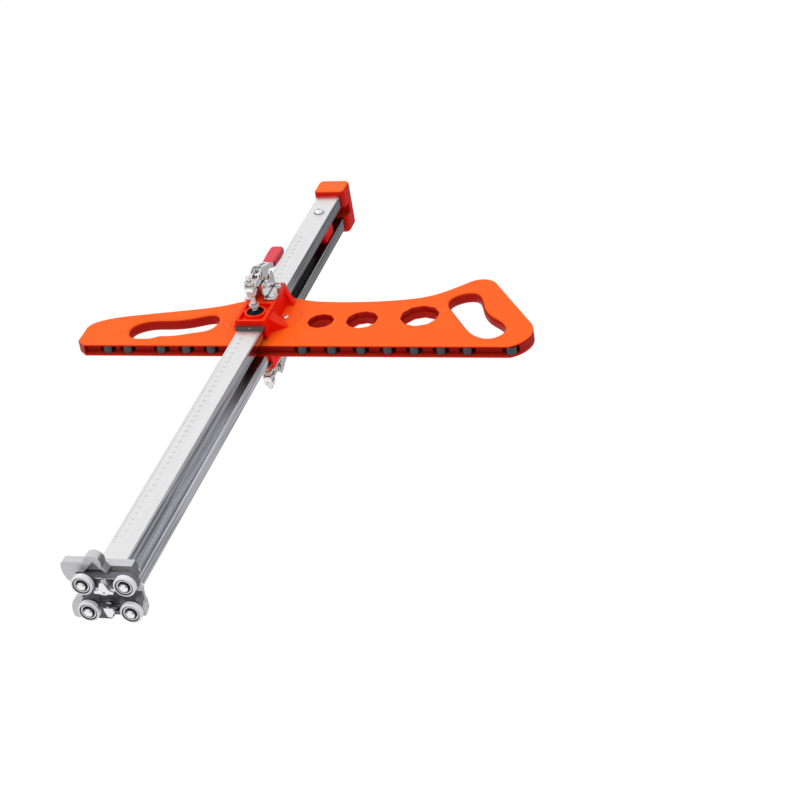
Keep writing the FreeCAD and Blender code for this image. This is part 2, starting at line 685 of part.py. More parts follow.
def make_links():
    """Pair of links; the eye at the lever is wide, where the loop is open."""
    (y1, z1), (y2, z2) = LINK_JOINT, LINK_PIVOT
    span = Vector(y2 - y1, z2 - z1, 0).normalize()
    side = Vector(-span.y, span.x, 0)
    big, small = 5.4, 4.2
    corners = []
    for centre, radius, sign in ((Vector(y1, z1, 0), big, 1), (Vector(y2, z2, 0), small, 1),
                                 (Vector(y2, z2, 0), small, -1), (Vector(y1, z1, 0), big, -1)):
        corners.append(centre + side * radius * sign)
    far_near = Vector(y1, z1, 0) - span * big
    far_far = Vector(y2, z2, 0) + span * small
    edges = [Part.LineSegment(corners[0], corners[1]), Part.Arc(corners[1], far_far, corners[2]),
             Part.LineSegment(corners[2], corners[3]), Part.Arc(corners[3], far_near, corners[0])]
    edges += circle(y1, z1, 3.6)
    edges += circle(y2, z2, cell("rivet_radius") + cell("running_fit"))
    links = group("links", *sheets("link", edges, "link_inner", "link_outer"))
    node(links, "upper_clamp_links")
    node(flipped("links_below", links), "lower_clamp_links")


# --------------------------------------------------------------------- fence

def fence_outline():
    """Outer edge of the fence, around its pivot."""
    pivot = cell("pivot_at")
    edge = -cell("fence_edge")

    def at(points):
        return [(x, y + pivot) for x, y in points]

    back = at([(-217, -32), (-212.5, -15), (-201, -7), (-185, -1), (-161, 4.5), (-125, 11.5),
               (-89, 18.5), (-62, 26), (-38, 37), (-20, 44), (0, 47), (20, 44.5), (38, 38.5), (68, 34.6),
               (104, 34.3), (152, 38.7), (186, 48), (211, 66), (226, 80)])
    nose = at([(-207, edge), (-217, -55), (-217, -32)])
    crown = at([(226, 80), (242.5, 86.5), (258, 77.5)])
    heel = at([(258, 77.5), (316, -10)])
    toe = at([(316, -10), (323.3, -38), (303, edge)])
    front = at([(303, edge), (-207, edge)])
    curve = smooth(back)
    edges = [Part.LineSegment(flat(*nose[0]), flat(*nose[1])),
             Part.LineSegment(flat(*nose[1]), flat(*nose[2])),
             curve,
             Part.Arc(*[flat(*point) for point in crown]),
             Part.LineSegment(flat(*heel[0]), flat(*heel[1])),
             Part.Arc(*[flat(*point) for point in toe]),
             Part.LineSegment(flat(*front[0]), flat(*front[1]))]
    return edges


def fence_openings(level):
    """Hand slot, D-handle and three lightening holes, smaller in the lower shell."""
    pivot = cell("pivot_at")
    slot = [(-158.5, -33), (-156.5, -20), (-146, -12), (-120, -9), (-92, -4.5), (-76, 2), (-65.5, 3.5),
            (-59, -4), (-58.5, -16), (-63, -25.5), (-80, -32.5), (-96, -37.5), (-112, -39.8),
            (-121, -40.6), (-128, -44.6), (-138, -46), (-148, -45.4), (-155.5, -41)]
    handle = [(213, 34), (219, 48), (238, 53.5), (247, 43), (256, 20), (268, 2), (283, -12),
              (289.5, -30), (278, -43), (262, -39), (243, -18), (222, 14)]
    edges = []
    for loop in (slot, handle):
        edges += smooth_loop([(x, y + pivot) for x, y in loop])
    for x, y, radius, ledge in ((69, -9, 15.8, 5.4), (118, -6, 19, 3), (184.5, 3, 23, 3)):
        edges += regular(x, y + pivot, radius if level > 0 else radius - ledge, 10)
    return edges


def is_hand_edge(level):
    """Test for the closed spline edges at one level."""
    def test(edge):
        return isinstance(edge.Curve, Part.BSplineCurve) and edge.isClosed() and \
            abs(edge.Vertexes[0].Z - level) < 1e-6
    return test


def fence_half(name, level, low, high):
    """One shell, from the parting plane to its face."""
    edges = fence_outline() + fence_openings(level)
    blank = plate(name, "XY", edges, *sorted((0.0, level)))
    solid = rounded(name + "_eased", blank, cell("grip_round"), is_hand_edge(level))
    edge = "pivot_at - fence_edge"
    tools = [block(name + "_groove", (-206, 312), (edge + " - 1", edge + " + groove_depth"), (low, high))]
    depth = "pivot_at - fence_edge - roller_proud + 2 * roller_radius + 1.8"
    for number, x in enumerate(ROLLERS, start=1):
        tools.append(block("%s_pocket_%d" % (name, number), (x - 9.5, x + 9.5), (edge + " - 1", depth),
                           (low, high)))
        tools.append(rod("%s_pin_hole_%d" % (name, number), "Z",
                         (x, "pivot_at - fence_edge - roller_proud + roller_radius", -6.2),
                         "pin_radius", 12.6))
    seat_base = "disc_floor - clearance" if level > 0 else "clearance - disc_floor - 20"
    tools.append(rod(name + "_seat", "Z", (0, "pivot_at", seat_base), "disc_radius + clearance", 20))
    tools.append(rod(name + "_bore", "Z", (0, "pivot_at", -20), "hub_radius + running_fit", 40))
    tools.append(block(name + "_nose_recess", (-218, -211.5), ("pivot_at - 53", "pivot_at - 40"),
                       (-5.2, 5.2)))
    tools.append(rod(name + "_nose_hole", "X", (-212, "pivot_at - 46.5", 0), 2.0, 14))
    return solid, tools


def make_fence():
    """Upper and lower shells with a seat for the turntable and roller pockets."""
    half = cell("fence_thick") / 2
    low, high = cell("groove_low"), cell("groove_high")
    for name, level in (("fence_top", half), ("fence_bottom", -half)):
        solid, tools = fence_half(name, level, low, high)
        for number, (x, y) in enumerate(SCREW_SPOTS, start=1):
            at = (x, cell("pivot_at") + y, -half - 1)
            tools.append(rod("%s_screw_hole_%d" % (name, number), "Z", at, 1.75, half + 1 + 4.6))
            if level < 0:
                tools.append(rod("%s_sink_%d" % (name, number), "Z", at, 3.4, 3.2))
        shell = cut(name + "_shell", solid, *tools)
        node(shell, "arm_top_shell" if level > 0 else "arm_bottom_shell")


def make_fence_screws():
    """Screws from below that join the shells, and the one in the nose."""
    half = cell("fence_thick") / 2
    profile = [(0, -half + 0.2), (3.3, -half + 0.2), (3.3, -half + 2.2), (1.7, -half + 2.2),
               (1.7, 4.5), (0, 4.5)]
    screws = []
    for number, (x, y) in enumerate(SCREW_SPOTS, start=1):
        screws.append(turned("shell_screw_%d" % number, profile, "Z", (x, cell("pivot_at") + y, 0)))
    cap = [(0, 1.8), (1.9, 1.8), (1.9, 0), (4.0, 0), (4.0, 4.2), (2.0, 4.2), (2.0, 17), (0, 17)]
    screws.append(turned("nose_screw", cap, "X", (-215.7, "pivot_at - 46.5", 0)))
    node(group("fence_screws", *screws), "shell_screws")


def make_rollers():
    """Ball-bearing rollers along the fence edge, on pins held by the shells."""
    centre_y = "pivot_at - fence_edge - roller_proud + roller_radius"
    radius = cell("roller_radius")
    low, high = cell("groove_low") + 0.4, cell("groove_high") - 0.4
    bore = cell("pin_radius") + cell("running_fit")
    profile = [(bore, low), (3.4, low), (3.4, low + 0.5), (4.9, low + 0.5), (4.9, low), (radius - 0.4, low),
               (radius, low + 0.4), (radius, high - 0.4), (radius - 0.4, high), (4.9, high),
               (4.9, high - 0.5), (3.4, high - 0.5), (3.4, high), (bore, high)]
    pins = []
    for number, x in enumerate(ROLLERS, start=1):
        roller = turned("roller_body_%02d" % number, profile, "Z", (x, centre_y, 0))
        node(roller, "fence_roller_%02d" % number)
        pins.append(rod("roller_pin_%02d" % number, "Z", (x, centre_y, -6.2), "pin_radius", 12.6))
    node(group("roller_pin_set", *pins), "roller_pins")


# -------------------------------------------------------------------- output

def check_document():
    """Stop if any object failed or any sub-part is empty or broken."""
    doc.recompute()
    for obj in doc.Objects:
        if "Invalid" in obj.State or "Error" in obj.State:
            raise RuntimeError("failed object: " + obj.Name)
    for obj in nodes:
        if obj.Shape.isNull() or not obj.Shape.isValid() or not obj.Shape.Solids:
            raise RuntimeError("bad shape: " + obj.Label)


def write_steps():
    os.makedirs("parts", exist_ok=True)
    for obj in nodes:
        obj.Shape.exportStep("parts/%s.step" % obj.Label)


fill_sheet()
make_rails()
make_yoke()
make_stop()
make_heads()
make_carriers()
make_scoring()
make_axles()
make_head_screws()
make_wheels()
make_saddles()
make_glide_pads()
make_pressure_pads()
make_saddle_screws()
make_clamp_base()
make_base_screws()
make_rivets()
make_bar()
make_spindle()
make_lever()
make_links()
make_fence()
make_fence_screws()
make_rollers()
check_document()
write_steps()
print("nodes", len(nodes))
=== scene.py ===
"""Looks of the double-rail tile cutter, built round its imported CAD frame."""

import math

import bpy
from mathutils import Matrix, Vector


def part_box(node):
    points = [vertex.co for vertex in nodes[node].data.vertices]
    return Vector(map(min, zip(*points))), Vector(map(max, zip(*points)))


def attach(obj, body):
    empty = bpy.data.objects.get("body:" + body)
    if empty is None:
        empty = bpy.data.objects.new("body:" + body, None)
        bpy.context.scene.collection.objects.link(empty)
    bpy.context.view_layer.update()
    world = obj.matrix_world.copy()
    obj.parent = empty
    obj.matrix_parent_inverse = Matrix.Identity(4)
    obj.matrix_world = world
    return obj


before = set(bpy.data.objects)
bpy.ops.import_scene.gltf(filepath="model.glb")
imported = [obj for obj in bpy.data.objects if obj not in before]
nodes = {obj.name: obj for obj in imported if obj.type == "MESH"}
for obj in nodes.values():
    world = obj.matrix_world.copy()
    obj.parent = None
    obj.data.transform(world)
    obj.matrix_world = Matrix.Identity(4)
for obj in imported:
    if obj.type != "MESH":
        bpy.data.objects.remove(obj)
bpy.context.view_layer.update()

MM = 0.001

# Camera: azimuth, elevation and roll in degrees, distances in metres.
CAMERA_AZIMUTH = 19.645
CAMERA_ELEVATION = 31.181
CAMERA_ROLL = -9.81
CAMERA_TARGET = Vector((0.25213, 0.22523, 0.08797))
CAMERA_DISTANCE = 2.2058
CAMERA_LENS = 99.24
SENSOR = 36.0

# Where the steel sides mirror a dark studio flag, as a direction.
FLAG_DIRECTION = (0.30, 0.80, -0.52)

# Places in metres in the object's own frame.
AXLE_ACROSS = 22.4 * MM
AXLE_HEIGHT = 16.0 * MM
SPACER_BOLT = (0, 755 * MM, 23 * MM)
GLIDE_DIMPLE = (0, 469.5 * MM, 24.6 * MM)

# Edges sharper than this many degrees are rounded once doubled points are welded.
BEVEL_ANGLE = 32
WELD_GAP = 0.01 * MM

# Ruler: first mark's place, marks one millimetre apart, tick lengths and numbers.
RULER_START = 60
RULER_MARKS = 640
RULER_INSET = 1.9 * MM
TICKS = ((10, 5.0), (5, 3.8), (1, 2.4))
THIN_TICK = 0.07 * MM
THICK_TICK = 0.11 * MM
NUMBER_SIZE = 4.6 * MM
NUMBER_OFFSET = 6.6 * MM


# ------------------------------------------------------------ camera and set

def make_camera():
    """Camera on its azimuth and elevation round the target, with a roll."""
    azimuth = math.radians(CAMERA_AZIMUTH)
    elevation = math.radians(CAMERA_ELEVATION)
    back = Vector((math.sin(azimuth) * math.cos(elevation),
                   -math.cos(azimuth) * math.cos(elevation),
                   math.sin(elevation)))
    data = bpy.data.cameras.new("camera")
    data.lens = CAMERA_LENS
    data.sensor_width = SENSOR
    data.clip_start = 0.05
    data.clip_end = 50.0
    camera = bpy.data.objects.new("camera", data)
    bpy.context.scene.collection.objects.link(camera)
    level = back.to_track_quat("Z", "Y").to_matrix().to_4x4()
    roll = Matrix.Rotation(math.radians(CAMERA_ROLL), 4, "Z")
    camera.matrix_world = Matrix.Translation(CAMERA_TARGET + back * CAMERA_DISTANCE) @ level @ roll
    bpy.context.scene.camera = camera


def make_light(name, place, target, size, power, colour):
    """Rectangular area light that faces its target."""
    data = bpy.data.lights.new(name, "AREA")
    data.shape = "RECTANGLE"
    data.size, data.size_y = size
    data.energy = power
    data.color = colour
    light = bpy.data.objects.new(name, data)
    bpy.context.scene.collection.objects.link(light)
    light.location = place
    light.rotation_mode = "QUATERNION"
    light.rotation_quaternion = (Vector(place) - Vector(target)).to_track_quat("Z", "Y")


def make_world():
    """White studio with a grey band round the horizon and one dark flag."""
    world = bpy.data.worlds.new("studio")
    bpy.context.scene.world = world
    world.use_nodes = True
    tree = world.node_tree
    coords = tree.nodes.new("ShaderNodeTexCoord")
    split = tree.nodes.new("ShaderNodeSeparateXYZ")
    tree.links.new(coords.outputs["Generated"], split.inputs[0])
    height = tree.nodes.new("ShaderNodeMapRange")
    height.inputs["From Min"].default_value = -1.0
    tree.links.new(split.outputs["Z"], height.inputs["Value"])
    sky = ramp(tree, height.outputs["Result"],
               ((0.0, (1.02, 1.02, 1.02)), (0.38, (1.02, 1.02, 1.02)), (0.46, (0.16, 0.16, 0.17)),
                (0.56, (0.12, 0.12, 0.13)), (0.66, (0.86, 0.86, 0.86)), (1.0, (0.95, 0.95, 0.95))))
    ahead = product(tree, step(tree, split.outputs["Y"], 0.45, 0.7),
                    step(tree, split.outputs["Z"], -0.32, -0.22))
    sky = blend(tree, ahead, sky, (0.84, 0.84, 0.84))
    facing = tree.nodes.new("ShaderNodeVectorMath")
    facing.operation = "DOT_PRODUCT"
    facing.inputs[1].default_value = Vector(FLAG_DIRECTION).normalized()
    tree.links.new(coords.outputs["Generated"], facing.inputs[0])
    flag = ramp(tree, facing.outputs["Value"],
                ((0.0, (1, 1, 1)), (0.93, (1, 1, 1)), (0.965, (0.34, 0.34, 0.35)), (1.0, (0.44, 0.44, 0.46))))
    background = tree.nodes["Background"]
    tree.links.new(blend(tree, 1.0, sky, flag, "MULTIPLY"), background.inputs["Color"])
    background.inputs["Strength"].default_value = 1.0


def ramp(tree, value, stops):
    """Colour ramp through (position, colour) stops."""
    node = tree.nodes.new("ShaderNodeValToRGB")
    elements = node.color_ramp.elements
    while len(elements) < len(stops):
        elements.new(0.5)
    for element, (position, colour) in zip(elements, stops):
        element.position = position
        element.color = (*colour, 1)
    tree.links.new(value, node.inputs[0])
    return node.outputs["Color"]


# ----------------------------------------------------------------- materials

def link(tree, source, target):
    tree.links.new(source, target)


def noise(tree, place, scale, detail):
    """Noise value at a place."""
    node = tree.nodes.new("ShaderNodeTexNoise")
    node.inputs["Scale"].default_value = scale
    node.inputs["Detail"].default_value = detail
    link(tree, place, node.inputs["Vector"])
    return node.outputs["Fac"]


def math_node(tree, operation, *terms):
    """Arithmetic on sockets and plain numbers."""
    node = tree.nodes.new("ShaderNodeMath")
    node.operation = operation
    for socket, term in zip(node.inputs, terms):
        if isinstance(term, (int, float)):
            socket.default_value = term
        else:
            link(tree, term, socket)
    return node.outputs[0]


def step(tree, value, low, high, start=0.0, stop=1.0):
    """Smooth change from start to stop as the value goes from low to high."""
    node = tree.nodes.new("ShaderNodeMapRange")
    node.interpolation_type = "SMOOTHSTEP"
    for name, number in (("From Min", low), ("From Max", high), ("To Min", start), ("To Max", stop)):
        node.inputs[name].default_value = number
    link(tree, value, node.inputs["Value"])
    return node.outputs["Result"]


def band(tree, value, start, peak, fall, stop, height=1.0):
    """Nought outside start to stop, the given height from peak to fall."""
    rise = step(tree, value, start, peak)
    return product(tree, rise, step(tree, value, fall, stop, height, 0.0))


def product(tree, first, second):
    """Two factors multiplied."""
    return math_node(tree, "MULTIPLY", first, second)


def blend(tree, factor, first, second, mode="MIX"):
    """Mix of two colours; each is a socket or a plain colour."""
    node = tree.nodes.new("ShaderNodeMix")
    node.data_type = "RGBA"
    node.blend_type = mode
    if isinstance(factor, (int, float)):
        node.inputs["Factor"].default_value = factor
    else:
        link(tree, factor, node.inputs["Factor"])
    for name, colour in (("A", first), ("B", second)):
        if isinstance(colour, tuple):
            node.inputs[name].default_value = (*colour, 1)
        else:
            link(tree, colour, node.inputs[name])
    return node.outputs["Result"]


class Surface:
    """Principled surface whose colour, roughness and relief vary with noise."""

    def __init__(self, name, colour, roughness, metallic=0.0, tone=0.05, tone_scale=60.0, bump=0.1,
                 bump_scale=900.0, spread=0.06, stretch=(1, 1, 1), specular=0.5):
        self.material = bpy.data.materials.new(name)
        self.material.use_nodes = True
        self.tree = self.material.node_tree
        self.shader = self.tree.nodes["Principled BSDF"]
        self.shader.inputs["Metallic"].default_value = metallic
        self.shader.inputs["Specular IOR Level"].default_value = specular
        coords = self.tree.nodes.new("ShaderNodeTexCoord")
        self.place = coords.outputs["Object"]
        self.normal = coords.outputs["Normal"]
        mapping = self.tree.nodes.new("ShaderNodeMapping")
        mapping.inputs["Scale"].default_value = stretch
        link(self.tree, self.place, mapping.inputs["Vector"])
        self.grain = mapping.outputs["Vector"]
        cloud = noise(self.tree, self.grain, tone_scale, 4)
        dark = tuple(c * (1 - tone) for c in colour)
        light = tuple(min(1.0, c * (1 + tone)) for c in colour)
        self.colour = blend(self.tree, cloud, dark, light)
        self.rough = step(self.tree, cloud, 0.3, 0.7, max(0.02, roughness - spread), roughness + spread)
        relief = self.tree.nodes.new("ShaderNodeBump")
        relief.inputs["Strength"].default_value = bump
        relief.inputs["Distance"].default_value = 0.05 * MM
        link(self.tree, noise(self.tree, self.grain, bump_scale, 3), relief.inputs["Height"])
        self.relief = relief

    def axis(self, vector, name):
        """One component of a vector."""
        split = self.tree.nodes.new("ShaderNodeSeparateXYZ")
        link(self.tree, vector, split.inputs[0])
        return split.outputs[name]

    def size_of(self, vector, name):
        """One component of a vector, without its sign."""
        return math_node(self.tree, "ABSOLUTE", self.axis(vector, name))

    def distance(self, point):
        """Distance from a point of the object."""
        node = self.tree.nodes.new("ShaderNodeVectorMath")
        node.operation = "DISTANCE"
        node.inputs[1].default_value = point
        link(self.tree, self.place, node.inputs[0])
        return node.outputs["Value"]

    def upness(self):
        """One where the surface faces up or down, nought on its sides."""
        return step(self.tree, self.size_of(self.normal, "Z"), 0.35, 0.85)

    def tint(self, factor, colour):
        """Move the colour towards another where the factor is one."""
        self.colour = blend(self.tree, factor, self.colour, colour)
        return self

    def grime(self, reach):
        """Painted shade: darken the corners where two surfaces meet within the reach."""
        shelter = self.tree.nodes.new("ShaderNodeAmbientOcclusion")
        shelter.samples = 16
        shelter.inputs["Distance"].default_value = reach
        self.tint(step(self.tree, shelter.outputs["AO"], 0.4, 0.9, 1.0, 0.0), (0.035, 0.035, 0.04))

    def roughen(self, factor, roughness):
        """Move the roughness towards another where the factor is one."""
        node = self.tree.nodes.new("ShaderNodeMix")
        link(self.tree, factor, node.inputs["Factor"])
        link(self.tree, self.rough, node.inputs["A"])
        node.inputs["B"].default_value = roughness
        self.rough = node.outputs["Result"]

    def done(self, *names):
        """Close the material and give it to CAD nodes."""
        link(self.tree, self.colour, self.shader.inputs["Base Color"])
        link(self.tree, self.rough, self.shader.inputs["Roughness"])
        link(self.tree, self.relief.outputs["Normal"], self.shader.inputs["Normal"])
        for name in names:
            data = nodes[name].data
            data.materials.clear()
            data.materials.append(self.material)
        return self.material


def plastic(name, top, side, **options):
    """Moulded plastic with painted light: its flat faces get a lighter, lit colour than its walls."""
    look = Surface(name, side, 0.38, specular=0.07, bump=0.12, **options)
    # Painted light: the top colour on up- and down-facing faces.
    return look.tint(look.upness(), top)


def soften(width, *names):
    """Round the sharp edges of CAD nodes with modifiers."""
    for name in names:
        obj = nodes[name]
        weld = obj.modifiers.new("weld", "WELD")
        weld.merge_threshold = WELD_GAP
        bevel = obj.modifiers.new("bevel", "BEVEL")
        bevel.width = width
        bevel.segments = 2
        bevel.limit_method = "ANGLE"
        bevel.angle_limit = math.radians(BEVEL_ANGLE)
        bevel.harden_normals = False


def paint_fence():
    """Orange shells, with painted shade making them dark red inside the roller channel and the holes."""
    # The first colour is painted light on the flat faces.
    look = plastic("fence_orange", (0.98, 0.125, 0.008), (0.78, 0.020, 0.003))
    # Painted shade within 6 mm of the middle height, in the roller channel and the holes.
    deep = step(look.tree, look.size_of(look.place, "Z"), 5.4 * MM, 6.6 * MM, 1.0, 0.0)
    look.tint(product(look.tree, deep, 0.92), (0.34, 0.006, 0.003))
    look.done("arm_top_shell", "arm_bottom_shell")


def paint_carriage():
    """Red saddles, with painted light giving the turntable disc the lit orange of the arm's top, and grey
    glide pads.
    """
    # The first colour is painted light on the flat faces.
    look = plastic("saddle_red", (0.95, 0.045, 0.006), (0.88, 0.010, 0.002))
    # Painted light: the saddle's part within 8 mm of the middle height, its turntable disc, gets the lit
    # orange of the arm's top.
    disc = step(look.tree, look.size_of(look.place, "Z"), 8.0 * MM, 9.0 * MM, 1.0, 0.0)
    look.tint(disc, (0.98, 0.115, 0.010))
    look.done("upper_saddle", "lower_saddle")
    pad = Surface("glide_grey", (0.05, 0.055, 0.05), 0.5)
    dimple = step(pad.tree, pad.distance(GLIDE_DIMPLE), 0.9 * MM, 1.1 * MM, 1.0, 0.0)
    pad.tint(dimple, (0.8, 0.8, 0.8))
    pad.done("glide_pads")


def paint_frame():
    """Orange end yoke, red spacer and the two steel rails."""
    # The first colour is painted light on the flat faces.
    yoke = plastic("yoke_orange", (0.98, 0.15, 0.020), (0.60, 0.006, 0.002))
    # Painted shade on the yoke's up-facing faces within 9 mm of the middle height, between the rails.
    inside = step(yoke.tree, yoke.size_of(yoke.place, "Z"), 9 * MM, 10 * MM, 0.9, 0.0)
    level = step(yoke.tree, yoke.axis(yoke.normal, "Z"), 0.5, 0.8)
    yoke.tint(product(yoke.tree, inside, level), (0.25, 0.004, 0.002))
    yoke.done("end_yoke")
    Surface("stop_red", (0.70, 0.006, 0.004), 0.45, bump=0.15, specular=0.06).done("spacer_block")
    # The second and third colours are painted reflection on the rails' sides.
    paint_rail("upper_rail", (0.62, 0.62, 0.66), (0.14, 0.14, 0.17))
    paint_rail("lower_rail", (0.88, 0.88, 0.92), (0.34, 0.34, 0.38))


def paint_rail(name, painted_side_colour, painted_streak_colour):
    """Satin top with polished sides; the sides' darker colour and long dark streaks are painted reflection,
    and the gap between the rails has painted reflection and painted shadow.
    """
    rail = Surface(name + "_steel", (0.93, 0.93, 0.93), 0.30, metallic=1.0, stretch=(1, 0.02, 1),
                   tone_scale=260, tone=0.04, spread=0.05)
    tree = rail.tree
    # Painted reflection on the polished sides: a darker colour, darker still from 540 mm along, with long
    # dark streaks.
    side = step(tree, rail.size_of(rail.normal, "X"), 0.3, 0.8)
    along = rail.axis(rail.place, "Y")
    far = product(tree, side, step(tree, along, 540 * MM, 620 * MM, 0.0, 0.82))
    streak = product(tree, side, step(tree, noise(tree, rail.grain, 260, 5), 0.46, 0.60, 0.0, 0.8))
    rail.tint(side, painted_side_colour)
    rail.tint(far, (0.20, 0.20, 0.22))
    rail.tint(streak, painted_streak_colour)
    rail.tint(product(tree, streak, far), (0.03, 0.03, 0.035))
    # Painted shade: a dark line at 14 mm across, along the rail's edge.
    painted_edge_shade = band(tree, rail.axis(rail.place, "X"), 13.7 * MM, 13.9 * MM, 14.3 * MM, 14.5 * MM, 0.8)
    rail.tint(painted_edge_shade, (0.10, 0.10, 0.11))
    # Painted reflection on the faces inside the gap between the rails: light and dark streaks.
    inner = step(tree, rail.size_of(rail.place, "Z"), 8.2 * MM, 8.6 * MM, 1.0, 0.0)
    painted_inner_reflection = blend(tree, step(tree, noise(tree, rail.grain, 60, 4), 0.44, 0.58), (0.86, 0.86, 0.90),
                  (0.38, 0.38, 0.42))
    rail.tint(inner, painted_inner_reflection)
    # Painted shadow on those gap faces, from 320 mm along and stronger from 520 mm.
    painted_gap_shadow = math_node(tree, "ADD", step(tree, along, 320 * MM, 440 * MM, 0.0, 0.75),
                       step(tree, along, 520 * MM, 620 * MM, 0.0, 0.25))
    rail.tint(product(tree, inner, painted_gap_shadow), (0.04, 0.04, 0.045))
    bolt_ring = band(tree, rail.distance(SPACER_BOLT), 5.2 * MM, 5.5 * MM, 6.6 * MM, 7.0 * MM, 0.85)
    rail.tint(bolt_ring, (0.05, 0.05, 0.055))
    rail.roughen(side, 0.14)
    rail.done(name)


def radius_from_axle(look):
    """Distance from the nearest wheel axle, in metres."""
    terms = []
    for name, centre in (("X", AXLE_ACROSS), ("Z", AXLE_HEIGHT)):
        gap = math_node(look.tree, "SUBTRACT", look.size_of(look.place, name), centre)
        terms.append(math_node(look.tree, "POWER", math_node(look.tree, "ABSOLUTE", gap), 2.0))
    return math_node(look.tree, "SQRT", math_node(look.tree, "ADD", *terms))


def paint_castings():
    """Cast heads, and the wheel carriers in front of them, whose darker colour is painted shade."""
    head = Surface("cast_alloy", (0.58, 0.58, 0.60), 0.42, metallic=0.55, bump=0.35, bump_scale=700,
                   tone=0.24, tone_scale=320)
    tree = head.tree
    # Painted light: a lighter colour on the heads' up- and down-facing faces.
    head.tint(product(tree, head.upness(), 0.6), (0.66, 0.66, 0.68))
    # Painted shade on the upper head's faces that look towards +X.
    above = step(tree, head.axis(head.place, "Z"), 0, 1 * MM)
    painted_flank_shade = step(tree, head.axis(head.normal, "X"), 0.6, 0.9)
    head.tint(product(tree, above, painted_flank_shade), (0.16, 0.16, 0.18))
    # Painted shade under the lower head, from 18 mm down and within 22 mm of the middle.
    below = step(tree, head.axis(head.place, "Z"), -19 * MM, -18 * MM, 0.9, 0.0)
    middle = step(tree, head.size_of(head.place, "X"), 22 * MM, 26 * MM, 1.0, 0.0)
    head.tint(product(tree, below, middle), (0.05, 0.05, 0.06))
    head.done("upper_head", "lower_head")
    # Painted shade: the carriers get a darker copy of the heads' alloy colour.
    carrier = Surface("carrier_alloy", (0.16, 0.16, 0.18), 0.42, metallic=0.5, bump=0.35, bump_scale=700,
                      tone=0.2, tone_scale=200)
    tree = carrier.tree
    # Painted highlight: a light line along the dish's top edge between the wheels, at the carriers' front.
    strip = band(tree, carrier.axis(carrier.place, "Z"), 19.2 * MM, 19.5 * MM, 20.4 * MM, 20.7 * MM)
    middle = step(tree, carrier.size_of(carrier.place, "X"), 10 * MM, 11 * MM, 1.0, 0.0)
    front = step(tree, carrier.axis(carrier.place, "Y"), 5.6 * MM, 6.0 * MM, 1.0, 0.0)
    carrier.tint(product(tree, strip, product(tree, middle, front)), (0.75, 0.75, 0.78))
    carrier.done("upper_wheel_carrier", "lower_wheel_carrier")


def paint_scorers():
    """Bright scoring forks, the lower one mostly in shade, and the hard wheels."""
    fork = Surface("fork_steel", (0.86, 0.86, 0.88), 0.28, metallic=0.8, bump=0.3)
    tree = fork.tree
    # Painted shade on the lower fork: its part higher than 10 mm down, and its sides more than 5 mm from the
    # middle.
    shade = step(tree, fork.axis(fork.place, "Z"), -10.5 * MM, -9.5 * MM)
    under = step(tree, fork.axis(fork.place, "Z"), -1 * MM, 0, 1.0, 0.0)
    fork.tint(product(tree, shade, under), (0.06, 0.06, 0.07))
    wide = step(tree, fork.size_of(fork.place, "X"), 4.5 * MM, 5.5 * MM)
    fork.tint(product(tree, wide, under), (0.10, 0.10, 0.11))
    fork.done("upper_scoring_holder", "lower_scoring_holder")
    carbide = Surface("carbide", (0.4, 0.4, 0.42), 0.25, metallic=1.0)
    carbide.done("upper_scoring_wheel", "lower_scoring_wheel")


def paint_wheels():
    """White tyres on ball bearings with black seals."""
    wheels = [level + "_" + side for level in ("upper", "lower") for side in ("left", "right")]
    tyre = Surface("white_nylon", (0.80, 0.80, 0.83), 0.42, bump=0.12, tone=0.03)
    # Painted shade: the tyre's recess within 9.2 mm of the axle is near black.
    tyre.tint(step(tyre.tree, radius_from_axle(tyre), 9.15 * MM, 9.35 * MM, 1.0, 0.0), (0.03, 0.03, 0.035))
    tyre.done(*[wheel + "_tyre" for wheel in wheels])
    bearing = Surface("bearing_steel", (0.62, 0.62, 0.64), 0.22, metallic=0.9)
    seal = step(bearing.tree, radius_from_axle(bearing), 6.35 * MM, 6.55 * MM, 1.0, 0.0)
    bearing.tint(seal, (0.015, 0.015, 0.018))
    bearing.done(*[wheel + "_bearing" for wheel in wheels])


def paint_clamps():
    """Zinc-plated toggle clamps with threaded spindles and dipped grips."""
    zinc = Surface("zinc_plate", (0.84, 0.84, 0.83), 0.13, metallic=1.0, tone=0.12, tone_scale=160, bump=0.5,
                   bump_scale=150)
    # Painted shade in the zinc parts' corners.
    zinc.grime(3 * MM)
    spindle = Surface("spindle_zinc", (0.93, 0.93, 0.92), 0.15, metallic=1.0, tone=0.1)
    # Painted shade in the spindles' corners.
    spindle.grime(2.5 * MM)
    thread = spindle.tree.nodes.new("ShaderNodeTexWave")
    thread.bands_direction = "Z"
    thread.inputs["Scale"].default_value = 320
    link(spindle.tree, spindle.place, thread.inputs["Vector"])
    spindle.relief.inputs["Distance"].default_value = 0.35 * MM
    spindle.relief.inputs["Strength"].default_value = 0.8
    link(spindle.tree, thread.outputs["Fac"], spindle.relief.inputs["Height"])
    rubber = Surface("black_rubber", (0.006, 0.006, 0.008), 0.6, bump=0.2, specular=0.12)
    grip = Surface("grip_red", (0.40, 0.008, 0.020), 0.38, tone=0.08, specular=0.3)
    # Painted highlight: a lighter pink on the grips' up- and down-facing faces.
    grip.tint(grip.upness(), (0.72, 0.045, 0.070))
    levels = ("upper", "lower")
    zinc.done(*[level + "_clamp_" + piece for level in levels for piece in ("base", "bar", "lever", "links")])
    spindle.done(*[level + "_clamp_spindle" for level in levels])
    rubber.done(*[level + "_pressure_pad" for level in levels])
    grip.done(*[level + "_clamp_grip" for level in levels])


